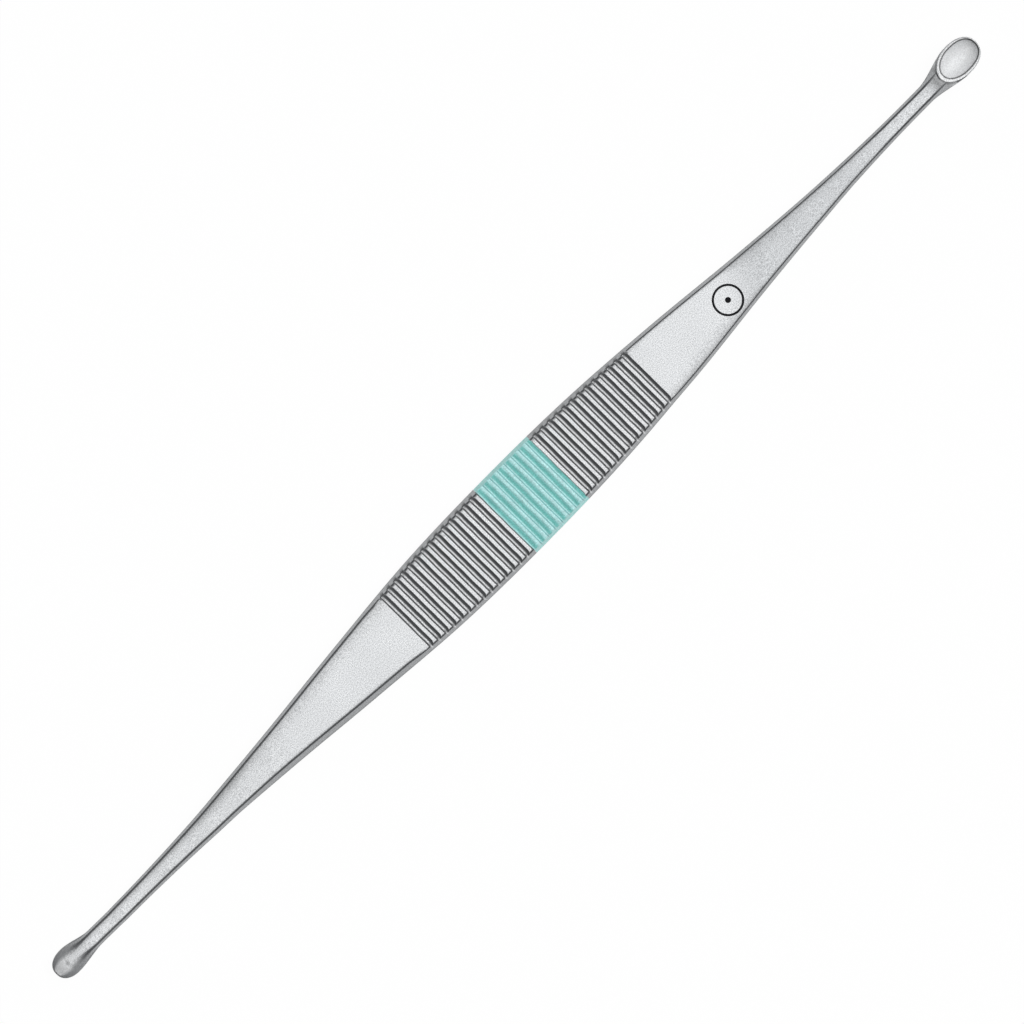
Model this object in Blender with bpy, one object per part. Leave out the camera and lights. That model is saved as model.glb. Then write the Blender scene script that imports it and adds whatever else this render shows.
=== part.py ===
# A double-ended sharp curette: a flat drop-forged steel handle with a serrated grip, a slim neck
# at each end that carries a sharp spoon, and a turquoise colour band round the grip.
# +X points to the large spoon, whose hollow faces up. The small spoon faces down.
# Y runs across the handle, and z = 0 is the underside of the flat grip.

import math

import bmesh
import bpy

MM = 0.001

# Whole instrument
TOTAL_LENGTH = 130.0 * MM
JOINT_GAP = 0.3 * MM

# Handle
GRIP_WIDTH = 8.9 * MM
GRIP_THICKNESS = 3.0 * MM
FLAT_LENGTH = 60.0 * MM
NECK_WIDTH = 1.91 * MM
NECK_THICKNESS = 1.9 * MM
DRAFT_ANGLE = math.radians(16.0)
PARTING_LAND = 0.2 * MM
EDGE_BEVEL = 0.1 * MM

# Width between grip (1) and neck (0) at even steps from the middle of the handle to each end
LARGE_SIDE_WIDTH_SHARES = (1.0, 0.93, 0.69, 0.358, 0.1, 0.0)
SMALL_SIDE_WIDTH_SHARES = (1.0, 0.93, 0.656, 0.336, 0.087, 0.0)
PLAIN_STEPS = 26

# Serration, the same on both faces
GROOVE_COUNT = 35
GROOVE_PITCH = 0.993 * MM
GROOVE_WIDTH = 0.6 * MM
GROOVE_DEPTH = 0.2 * MM
SERRATION_CENTRE = 1.45 * MM
GROOVE_STEPS = 5

# Colour band over some of the grooves
GROOVES_BEFORE_BAND_COUNT = 14
BAND_GROOVE_COUNT = 8
BAND_THICKNESS = 0.5 * MM
BAND_GAP = 0.25 * MM

# Large spoon
LARGE_REACH = 8.9 * MM
LARGE_RIM_LENGTH = 5.25 * MM
LARGE_RIM_WIDTH = 3.6 * MM
LARGE_RIM_RISE = 1.12 * MM
LARGE_HOLLOW_DEPTH = 1.1 * MM
LARGE_BACK_DEPTH = 1.85 * MM
LARGE_SWELL_LENGTH = 4.7 * MM

# Small spoon
SMALL_REACH = 8.1 * MM
SMALL_RIM_LENGTH = 3.9 * MM
SMALL_RIM_WIDTH = 2.88 * MM
SMALL_RIM_RISE = 0.95 * MM
SMALL_HOLLOW_DEPTH = 1.0 * MM
SMALL_BACK_DEPTH = 1.85 * MM
SMALL_SWELL_LENGTH = 3.5 * MM

# Both spoons. The rim leans down towards the tip, and its wall is thickest by the neck
RIM_TILT = math.radians(6.0)
RIM_NECK_WALL = 0.36 * MM
RIM_SIDE_WALL = 0.3 * MM
RIM_TIP_WALL = 0.13 * MM
RIM_LAND = 0.08 * MM
RIM_EDGE = 0.04 * MM
RIM_STEP = 0.15 * MM
# How blunt the outline is towards the tip, where 2 is an ellipse
TIP_POWER = 2.3
SWELL_STEPS = 7
RIM_STEPS = 16
FIRST_RIM_ANGLE = math.radians(12.0)
LAST_RIM_ANGLE = math.radians(177.0)
HOLLOW_SEGMENTS = 32
HOLLOW_RINGS = 16

# Looks
SHARP_ANGLE = math.radians(20.0)
STEEL_COLOUR = (0.62, 0.63, 0.65, 1.0)
STEEL_ROUGHNESS = 0.32
BAND_COLOUR = (0.27, 0.55, 0.54, 1.0)
BAND_ROUGHNESS = 0.5


def clear_scene():
    for item in list(bpy.data.objects):
        bpy.data.objects.remove(item, do_unlink=True)


def material(name, colour, roughness, metallic):
    made = bpy.data.materials.new(name)
    made.use_nodes = True
    shader = made.node_tree.nodes["Principled BSDF"]
    shader.inputs["Base Color"].default_value = colour
    shader.inputs["Roughness"].default_value = roughness
    shader.inputs["Metallic"].default_value = metallic
    return made


def smooth(share):
    """A share between 0 and 1, eased in and out."""
    share = min(max(share, 0.0), 1.0)
    return share * share * (3.0 - 2.0 * share)


def curve_through(shares, at):
    """The value at a place from 0 to 1 on a cubic through evenly spaced shares, level at both ends."""
    last = len(shares) - 1
    place = min(max(at, 0.0), 1.0) * last
    first = min(int(place), last - 1)
    t = place - first
    p0 = shares[abs(first - 1)]
    p1 = shares[first]
    p2 = shares[first + 1]
    p3 = shares[first + 2] if first + 2 <= last else shares[last - 1]
    slope_1 = (p2 - p0) / 2.0
    slope_2 = (p3 - p1) / 2.0
    rise = p2 - p1
    square = 3.0 * rise - 2.0 * slope_1 - slope_2
    cube = slope_1 + slope_2 - 2.0 * rise
    return p1 + slope_1 * t + square * t**2 + cube * t**3


def handle_ends():
    """The x of the handle's two end faces, half a joint gap short of each spoon's."""
    half_length = TOTAL_LENGTH / 2.0
    return (
        -half_length + SMALL_REACH + JOINT_GAP / 2.0,
        half_length - LARGE_REACH - JOINT_GAP / 2.0,
    )


def reach_from_middle(x):
    """The distance from the middle of the handle to the end on x's side."""
    left, right = handle_ends()
    return right if x > 0.0 else -left


def half_width(x):
    shares = LARGE_SIDE_WIDTH_SHARES if x > 0.0 else SMALL_SIDE_WIDTH_SHARES
    grip_share = curve_through(shares, abs(x) / reach_from_middle(x))
    return (NECK_WIDTH + (GRIP_WIDTH - NECK_WIDTH) * grip_share) / 2.0


def half_thickness(x):
    flat_end = FLAT_LENGTH / 2.0
    neck_share = smooth((abs(x) - flat_end) / (reach_from_middle(x) - flat_end))
    return (GRIP_THICKNESS + (NECK_THICKNESS - GRIP_THICKNESS) * neck_share) / 2.0


def groove_places():
    """Centre of each groove along the handle."""
    first = SERRATION_CENTRE - GROOVE_PITCH * (GROOVE_COUNT - 1) / 2.0
    return [first + GROOVE_PITCH * index for index in range(GROOVE_COUNT)]


def groove_radius():
    """The radius of the round groove bottom, an arc through the groove's two edges."""
    return (GROOVE_WIDTH**2 / 4.0 + GROOVE_DEPTH**2) / (2.0 * GROOVE_DEPTH)


def groove_depth(offset):
    """The depth of a groove at a distance from its centre."""
    radius = groove_radius()
    return GROOVE_DEPTH - radius + math.sqrt(radius**2 - offset**2)


def groove_offsets():
    """Distances from a groove's centre, from edge to edge, at even angles round its arc."""
    opening = math.asin(GROOVE_WIDTH / 2.0 / groove_radius())
    return [
        groove_radius() * math.sin(opening * (2.0 * step / GROOVE_STEPS - 1.0))
        for step in range(GROOVE_STEPS + 1)
    ]


def edge_points(width, height, land):
    """A quarter of the outline: from the parting land up the drafted flank and the bevel to the face."""
    corner = width - (height - land) * math.tan(DRAFT_ANGLE)
    return [
        (width, land),
        (corner + EDGE_BEVEL * math.sin(DRAFT_ANGLE), height - EDGE_BEVEL * math.cos(DRAFT_ANGLE)),
        (corner - EDGE_BEVEL, height),
    ]


def forged_section(width, height):
    """Closed outline of the forging across x: two faces, and drafted flanks that meet at a land."""
    quarter = edge_points(width, height, PARTING_LAND / 2.0)
    upper = quarter + [(-y, z) for y, z in reversed(quarter)]
    lower = [(y, -z) for y, z in reversed(upper)]
    return upper + lower


def add_ring(mesh, x, outline):
    return [mesh.verts.new((x, y, z)) for y, z in outline]


def bridge(mesh, ring, following):
    for index in range(len(ring)):
        ahead = (index + 1) % len(ring)
        mesh.faces.new((ring[index], ring[ahead], following[ahead], following[index]))


def loft(stations, closed=False):
    """A closed mesh through (x, outline) stations, capped at both ends or joined into a ring."""
    mesh = bmesh.new()
    rings = [add_ring(mesh, x, outline) for x, outline in stations]
    for ring, following in zip(rings, rings[1:]):
        bridge(mesh, ring, following)
    if closed:
        bridge(mesh, rings[-1], rings[0])
    else:
        mesh.faces.new(rings[0])
        mesh.faces.new(rings[-1])
    bmesh.ops.recalc_face_normals(mesh, faces=mesh.faces)
    return mesh


def add_object(name, mesh, look, parent):
    data = bpy.data.meshes.new(name)
    mesh.to_mesh(data)
    mesh.free()
    data.materials.append(look)
    data.shade_smooth()
    data.set_sharp_from_angle(angle=SHARP_ANGLE)
    made = bpy.data.objects.new(name, data)
    bpy.context.scene.collection.objects.link(made)
    made.parent = parent
    return made


def band_grooves():
    """Centre of each groove that the band covers."""
    return groove_places()[GROOVES_BEFORE_BAND_COUNT:][:BAND_GROOVE_COUNT]


def recess_walls():
    """The x of the waist's two walls, just outside the grooves that the band covers."""
    covered = band_grooves()
    reach = (GROOVE_WIDTH + BAND_GAP) / 2.0
    return covered[0] - reach, covered[-1] + reach


def plain_places(start, end, steps):
    return [start + (end - start) * step / steps for step in range(steps + 1)]


def grip_station(x, depth=0.0, inset=0.0):
    """The grip's outline at x, with its faces lowered by a groove's depth or the whole outline inset."""
    return x, forged_section(half_width(x) - inset, half_thickness(x) - depth - inset)


def grooved_stations(centres):
    """Stations through a run of grooves."""
    stations = []
    for centre in centres:
        for offset in groove_offsets():
            stations.append(grip_station(centre + offset, groove_depth(offset)))
    return stations


def plain_stations(places, inset=0.0):
    return [grip_station(x, inset=inset) for x in places]


def handle(look, parent):
    """The forging between the two spoons, with a waist that the colour band fills."""
    ends = handle_ends()
    places = groove_places()
    walls = recess_walls()
    to_land = GROOVE_PITCH - GROOVE_WIDTH / 2.0
    stations = plain_stations(plain_places(ends[0], places[0] - to_land, PLAIN_STEPS))
    stations += grooved_stations(places[:GROOVES_BEFORE_BAND_COUNT])
    stations += plain_stations(walls[:1])
    stations += plain_stations(walls, BAND_THICKNESS + BAND_GAP)
    stations += plain_stations(walls[1:])
    stations += grooved_stations(places[GROOVES_BEFORE_BAND_COUNT:][BAND_GROOVE_COUNT:])
    stations += plain_stations(plain_places(places[-1] + to_land, ends[1], PLAIN_STEPS))
    made = add_object("handle", loft(stations), look, parent)
    made.location.z = GRIP_THICKNESS / 2.0


def colour_band(look, parent):
    """A ribbed sleeve in the handle's waist, flush with the grip, its ribs in line with the serration."""
    centres = band_grooves()
    walls = recess_walls()
    left = walls[0] + BAND_GAP
    right = walls[1] - BAND_GAP
    end_depth = groove_depth(left - centres[0])
    ribs = [station for station in grooved_stations(centres) if left < station[0] < right]
    outside = [grip_station(left, end_depth)] + ribs + [grip_station(right, end_depth)]
    inside = plain_stations([right, left], BAND_THICKNESS)
    made = add_object("colour_band", loft(outside + inside, closed=True), look, parent)
    made.location.z = GRIP_THICKNESS / 2.0


def tip_share(past):
    """The share of a spoon's width that is left, at a share of the way from its widest place to its tip."""
    return (1.0 - past**TIP_POWER) ** (1.0 / TIP_POWER)


def spoon_section(across, face, top, bottom, parting, cup):
    """Closed outline of a spoon across its axis.

    across is the half width at the parting line, and face that of the flat top. The outline goes
    from the neck's drafted section (cup 0) to the thin rim and round back of the cup (cup 1).
    """
    land = (PARTING_LAND * (1.0 - cup) + RIM_LAND * cup) / 2.0
    bevel = EDGE_BEVEL * (1.0 - cup) + RIM_EDGE * cup
    flank = (face + bevel * math.sin(DRAFT_ANGLE) * (1.0 - cup), top - bevel)
    upper = [(across, parting + land), flank, (face - bevel, top)]
    upper += [(-y, z) for y, z in reversed(upper)]

    start, shoulder, edge = edge_points(across, -bottom, PARTING_LAND / 2.0)
    middle = ((start[0] + shoulder[0]) / 2.0, (start[1] + shoulder[1]) / 2.0)
    drafted = [start, middle, shoulder, edge]
    under = bottom - parting + land
    lower = []
    for index, (y, height) in enumerate(drafted):
        angle = math.pi / 2.0 * index / len(drafted)
        drop = (height - start[1]) / (-bottom - start[1])
        across_here = y * (1.0 - cup) + across * math.cos(angle) * cup
        drop_here = drop * (1.0 - cup) + math.sin(angle) * cup
        lower.append((across_here, parting - land + under * drop_here))
    mirrored = [(-y, z) for y, z in reversed(lower)]
    return upper + list(reversed(lower + [(0.0, bottom)] + mirrored))


def spoon_body(reach, rim_length, rim_width, rim_rise, back_depth, swell_length):
    """The neck and the solid cup, from the cut through the neck at x = 0 to the tip at x = reach."""
    neck = NECK_WIDTH / 2.0
    neck_height = NECK_THICKNESS / 2.0
    neck_face = neck - (neck_height - PARTING_LAND / 2.0) * math.tan(DRAFT_ANGLE)
    widest = reach - rim_length / 2.0
    swell_start = widest - swell_length

    def rim_height(x):
        return rim_rise - math.tan(RIM_TILT) * (x - widest)

    def outline_at(x, face, top):
        cup = smooth((x - swell_start) / swell_length)
        past = max(x - widest, 0.0) / (rim_length / 2.0)
        round_off = math.sqrt(1.0 - past**2)
        across = (neck + (rim_width / 2.0 - neck) * cup) * tip_share(past)
        parting = (rim_height(x) - RIM_EDGE - RIM_LAND) * cup
        back = rim_height(x) * (1.0 - round_off) + (rim_rise - back_depth) * round_off
        bottom = -neck_height * (1.0 - cup) + back * cup
        return spoon_section(across, face, top, bottom, parting, cup)

    stations = [(0.0, outline_at(0.0, neck_face, neck_height))]
    rim_start = widest - rim_length / 2.0
    for x in plain_places(swell_start, rim_start - RIM_STEP, SWELL_STEPS):
        stations.append((x, outline_at(x, neck_face, neck_height)))
    for step in range(RIM_STEPS + 1):
        angle = FIRST_RIM_ANGLE + (LAST_RIM_ANGLE - FIRST_RIM_ANGLE) * step / RIM_STEPS
        past = -math.cos(angle)
        x = widest + rim_length / 2.0 * past
        open_share = tip_share(past) if past > 0.0 else math.sin(angle)
        stations.append((x, outline_at(x, rim_width / 2.0 * open_share, rim_height(x))))
    return loft(stations)


def hollow_cutter(name, body, rim_length, rim_width, rim_rise, hollow_depth, widest):
    """An ellipsoid, blunt at the tip and tilted with the rim, that leaves the rim's wall all round."""
    mesh = bmesh.new()
    bmesh.ops.create_uvsphere(mesh, u_segments=HOLLOW_SEGMENTS, v_segments=HOLLOW_RINGS, radius=1.0)
    data = bpy.data.meshes.new(name)
    half_length = (rim_length - RIM_NECK_WALL - RIM_TIP_WALL) / 2.0
    offset = (RIM_NECK_WALL - RIM_TIP_WALL) / 2.0
    for vert in mesh.verts:
        x, y, z = vert.co
        blunt = tip_share(x) / math.sqrt(1.0 - x**2) if 0.0 < x < 1.0 else 1.0
        vert.co = (x * half_length, y * blunt * (rim_width / 2.0 - RIM_SIDE_WALL), z * hollow_depth)
    mesh.to_mesh(data)
    mesh.free()
    data.shade_smooth()
    cutter = bpy.data.objects.new(name, data)
    bpy.context.scene.collection.objects.link(cutter)
    cutter.parent = body
    cutter.location = (widest + offset, 0.0, rim_rise - math.tan(RIM_TILT) * offset)
    cutter.rotation_euler.y = RIM_TILT
    cutter.hide_render = True
    cutter.display_type = "WIRE"
    return cutter


def spoon(
    name,
    look,
    parent,
    reach,
    rim_length,
    rim_width,
    rim_rise,
    hollow_depth,
    back_depth,
    swell_length,
):
    """A spoon with its end of the neck, lying along +X with its hollow up."""
    body = spoon_body(reach, rim_length, rim_width, rim_rise, back_depth, swell_length)
    made = add_object(name, body, look, parent)
    widest = reach - rim_length / 2.0
    cutter = hollow_cutter(name + "_hollow", made, rim_length, rim_width, rim_rise, hollow_depth, widest)
    cut = made.modifiers.new("hollow", "BOOLEAN")
    cut.object = cutter
    cut.operation = "DIFFERENCE"
    cut.solver = "EXACT"
    return made


def large_spoon(look, parent):
    made = spoon(
        "large_spoon",
        look,
        parent,
        LARGE_REACH,
        LARGE_RIM_LENGTH,
        LARGE_RIM_WIDTH,
        LARGE_RIM_RISE,
        LARGE_HOLLOW_DEPTH,
        LARGE_BACK_DEPTH,
        LARGE_SWELL_LENGTH,
    )
    made.location = (TOTAL_LENGTH / 2.0 - LARGE_REACH, 0.0, GRIP_THICKNESS / 2.0)


def small_spoon(look, parent):
    """The spoon at the other end, turned over."""
    made = spoon(
        "small_spoon",
        look,
        parent,
        SMALL_REACH,
        SMALL_RIM_LENGTH,
        SMALL_RIM_WIDTH,
        SMALL_RIM_RISE,
        SMALL_HOLLOW_DEPTH,
        SMALL_BACK_DEPTH,
        SMALL_SWELL_LENGTH,
    )
    made.location = (SMALL_REACH - TOTAL_LENGTH / 2.0, 0.0, GRIP_THICKNESS / 2.0)
    made.rotation_euler.y = math.pi


def main():
    clear_scene()
    curette = bpy.data.objects.new("curette", None)
    bpy.context.scene.collection.objects.link(curette)
    steel = material("steel", STEEL_COLOUR, STEEL_ROUGHNESS, 1.0)
    turquoise = material("band", BAND_COLOUR, BAND_ROUGHNESS, 0.0)
    handle(steel, curette)
    colour_band(turquoise, curette)
    large_spoon(steel, curette)
    small_spoon(steel, curette)


main()
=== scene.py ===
import math
from typing import NamedTuple

import bmesh
import bpy
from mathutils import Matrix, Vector, noise


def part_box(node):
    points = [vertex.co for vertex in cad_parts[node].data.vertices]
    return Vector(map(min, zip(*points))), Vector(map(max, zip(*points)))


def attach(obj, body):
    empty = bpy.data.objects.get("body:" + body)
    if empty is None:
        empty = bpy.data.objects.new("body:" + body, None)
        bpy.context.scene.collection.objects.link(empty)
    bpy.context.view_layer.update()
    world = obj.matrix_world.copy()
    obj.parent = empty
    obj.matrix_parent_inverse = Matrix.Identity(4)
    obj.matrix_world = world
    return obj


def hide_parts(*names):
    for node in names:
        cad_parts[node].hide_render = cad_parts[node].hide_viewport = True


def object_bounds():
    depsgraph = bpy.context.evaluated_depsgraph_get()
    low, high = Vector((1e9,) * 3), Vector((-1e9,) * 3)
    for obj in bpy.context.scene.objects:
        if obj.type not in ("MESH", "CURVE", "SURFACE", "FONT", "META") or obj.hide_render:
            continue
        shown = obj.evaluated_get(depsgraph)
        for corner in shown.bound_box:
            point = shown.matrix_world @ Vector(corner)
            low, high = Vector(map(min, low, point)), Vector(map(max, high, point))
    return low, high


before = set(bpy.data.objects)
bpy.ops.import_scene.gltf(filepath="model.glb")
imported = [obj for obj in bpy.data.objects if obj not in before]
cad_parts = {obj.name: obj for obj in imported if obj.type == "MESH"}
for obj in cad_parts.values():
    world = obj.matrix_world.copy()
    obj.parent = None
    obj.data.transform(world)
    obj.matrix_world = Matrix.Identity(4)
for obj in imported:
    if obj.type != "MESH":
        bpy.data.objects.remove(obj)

cad_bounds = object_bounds()

MM = 0.001

# The instrument's box and where its spoons begin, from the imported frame
low, high = cad_bounds
THICKNESS = high.z - low.z
GRIP_WIDTH = high.y - low.y
MIDDLE_HEIGHT = THICKNESS / 2.0
LARGE_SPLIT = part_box("large_spoon")[0].x
SMALL_SPLIT = -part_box("small_spoon")[1].x

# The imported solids' tips end 3 micrometres short of this
HALF_LENGTH = 65.0 * MM

# Handle. The shares run evenly spaced from the middle of the grip to the spoon
NECK_WIDTH = 1.91 * MM
NECK_THICKNESS = 1.9 * MM
FLAT_LENGTH = 60.0 * MM
DRAFT = math.tan(math.radians(16.0))
LAND = 0.1 * MM
EDGE_RADIUS = 0.1 * MM
LARGE_SIDE_WIDTH_SHARES = (1.0, 0.93, 0.69, 0.358, 0.1, 0.0)
SMALL_SIDE_WIDTH_SHARES = (1.0, 0.93, 0.656, 0.336, 0.087, 0.0)


def changes_at(*millimetres):
    """Where a change starts, is whole, starts to fade and has gone, as distances from the middle."""
    return [place * MM for place in millimetres]


# Each face falls towards its edges, on one side over a wider strip than on the other: on the
# +Y side, and on the -Y side between the places of CROWN_CHANGES on the large half
WIDE_CROWN = 1.7 * MM
NARROW_CROWN = 0.5 * MM
CROWN_FALL = 0.07
CROWN_EDGE_FALL = 0.015
CROWN_CHANGES = changes_at(16.0, 22.0, 30.0, 34.0)

# How much steeper the small half's faces fall, on the +Y side of its neck and on its -Y side
SMALL_NECK_START = 34.0 * MM
SMALL_NECK_RUN = 6.0 * MM
SMALL_NECK_CROWN = 1.7
SMALL_SIDE_CROWN = 1.6
SMALL_SIDE_CROWN_CHANGES = changes_at(18.0, 21.0, 34.0, 38.0)

# The flanks' widths as shares of their drafted width: on both sides of the large half, and on
# the +Y and the -Y side of the small half
LARGE_FLANK_SHARE = 0.83
LARGE_FLANK_CHANGES = changes_at(17.8, 20.0, 42.0, 48.0)
SMALL_FLANK_SHARES = (0.84, 1.27)
SMALL_FLANK_CHANGES = changes_at(16.5, 18.5, 35.0, 41.0)

# How far the instrument's middle strays to the -Y side, and how much wider each side is there
LARGE_SWAY = 0.03 * MM
LARGE_SWAY_CHANGES = changes_at(18.0, 23.0, 42.0, 47.0)
SMALL_SWAY = 0.06 * MM
SMALL_SWAY_CHANGES = changes_at(40.0, 44.0, 56.0, 60.0)
SWAY_WIDENING = 0.027 * MM

# The painted shade lines inside the edges of the faces: their widths, the shares of them that show on
# each half, and where the large half's grows to the whole. A line has gone at LINE_REACH widths
LARGE_LINE_WIDTH = 0.1 * MM
SMALL_LINE_WIDTH = 0.125 * MM
LAND_LINE_WIDTH = 0.07 * MM
LARGE_LINE_SHARE = 0.6
SMALL_LINE_SHARE = 0.95
LARGE_LINE_START = 46.0 * MM
LARGE_LINE_RUN = 6.0 * MM
LINE_REACH = 1.4

# Painted shade on the large spoon's neck, where its face tilts: where it starts and where it fades to
# what is left
NECK_SHADE_START = 29.5 * MM
NECK_SHADE_RUN = 4.0 * MM
NECK_SHADE_FADE = 46.0 * MM
NECK_SHADE_FADE_RUN = 8.0 * MM
NECK_SHADE_LEFT = 0.4

# Serration. GROOVE_SHARES are the places of outlines up to a groove's centre, in halves of its
# width
GROOVE_COUNT = 35
GROOVE_PITCH = 0.9933 * MM
GROOVE_WIDTH = 0.6 * MM
GROOVE_DRIFT = 0.12 * MM
GROOVE_SKEW = 0.04 * MM
GROOVE_DEPTH = 0.22 * MM
GROOVE_LIP = 0.008 * MM
END_RISE = 0.1 * MM
END_REACH = 0.6 * MM
SERRATION_CENTRE = 1.468 * MM
GROOVE_SHARES = (-1.22, -1.17, -1.05, -1.0, -0.95, -0.86, -0.75, -0.7, -0.5, -0.3, -0.1)
HOOK = 0.12 * MM
HOOK_REACH = 0.5 * MM
END_DARK_REACH = 1.0 * MM
LAND_BEVEL = 0.2 * MM
LAND_POLISH = 0.15
WAVE = 0.022 * MM
WAVE_ALONG = 0.9 * MM
WAVE_ACROSS = 1.1 * MM
WAVE_LAYER = 0.7
WAVE_NOISE = (1.0, 2.5, 3)
DEPTH_WAVE_SHARE = 0.2
DEPTH_WAVE_LAYER = 3.1

# Colour band. The coating's places are measured from the middle of a groove
GROOVES_BEFORE_BAND = 14
BAND_GROOVES = 8
BAND_OVERLAP = 0.49 * MM
BAND_THICKNESS = 0.3 * MM
BAND_GAP = 0.02 * MM
BAND_GROOVE_DEPTH = 0.07 * MM
BAND_LIP = 0.03 * MM
BAND_ROUND = 0.035 * MM
# Where the coating's colour deepens across a groove, as pooled coating and as painted shade on the
# groove's +X wall
COATING_RUN = 0.1 * MM
COATING_START = -0.15 * MM
COATING_PEAK = 0.08 * MM
COATING_FADE = 0.5 * MM
COATING_BEAD_SHARE = 0.35

# What the two spoons differ in
LARGE_SPOON = {
    "rim_length": 5.25 * MM,
    "rim_width": 3.6 * MM,
    "rim_rise": 1.12 * MM,
    "hollow_depth": 1.1 * MM,
    "swell_length": 4.7 * MM,
}
SMALL_SPOON = {
    "rim_length": 3.9 * MM,
    "rim_width": 2.88 * MM,
    "rim_rise": 0.95 * MM,
    "hollow_depth": 1.0 * MM,
    "swell_length": 3.5 * MM,
}

# Both spoons: how blunt the far half of their outline and back is, where 2 is an ellipse,
# half the width of the flat on their back, and how far they sit to the +Y side
TIP_POWER = 2.3
BACK_POWER = 2.0
BACK_FLAT = 0.48 * MM
SPOON_OFFSET = 0.14 * MM

# Points of a quarter of an outline, closer together towards a face's edge by this power
HOLLOW_RINGS = 14
RIM_RINGS = 7
FACE_POINTS = 18
FACE_POINTS_POWER = 1.6
EDGE_POINTS = 4
FLANK_POINTS = 3

# Distances between outlines, and the numbers of outlines along an oval and round a tip's edge
HANDLE_STEP = 0.8 * MM
NECK_STEP = 0.6 * MM
SWELL_STEP = 0.07 * MM
LEAST_STEP = 0.004 * MM
OVAL_STEPS = 60
TIP_EDGE_STEPS = 12

# Mesh: what counts as one point or as nothing, and the angle at which an edge is sharp
SAME_POINT = 2e-7
NO_LENGTH = 1e-8
LEAST_RADIUS = 1e-7
SHARP_ANGLE = math.radians(38.0)

# Mark: a plain ring with a dot
MARK_CENTRE = Vector((29.45 * MM, -0.35 * MM))
MARK_RADIUS = 1.5 * MM
MARK_LINE = 0.23 * MM
MARK_DOT = 0.3 * MM
MARK_HEIGHT = 0.006 * MM
MARK_SEGMENTS = 96

# A small pit in the small spoon's back, with a painted dark reflection in it
PIT_CENTRE = Vector((-63.33 * MM, -0.02 * MM))
PIT_RADIUS = 0.25 * MM
PIT_DEPTH = 0.02 * MM
PIT_DARK_REFLECTION = 0.6

# Finishes that a surface can have, kept as shares on the mesh for the materials to read, in the order
# in which mesh_through writes them. The line, lip, shade, groove and neck shares carry painted shade,
# and the flank share a painted dark reflection besides its rougher finish
FINISHES = ("flank", "line", "satin", "rim", "groove", "lip", "shade", "neck")


class Point(NamedTuple):
    """A point of an outline across the instrument, with the shares of the finishes it has."""

    y: float
    z: float
    flank: float = 0.0
    line: float = 0.0
    satin: float = 0.0
    rim: float = 0.0


class Cut(NamedTuple):
    """What the serration does to the handle's outline at one place along it.

    Its depth is a function of y, and lip is how round the groove's edge is. The rest are shares: how
    much painted shade darkens the groove's +Y end and painted light brightens its -Y end, and whether
    the place is a land between two.
    """

    depth: object
    lip: float
    shaded_end: float = 0.0
    lit_end: float = 0.0
    land: float = 0.0


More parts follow.
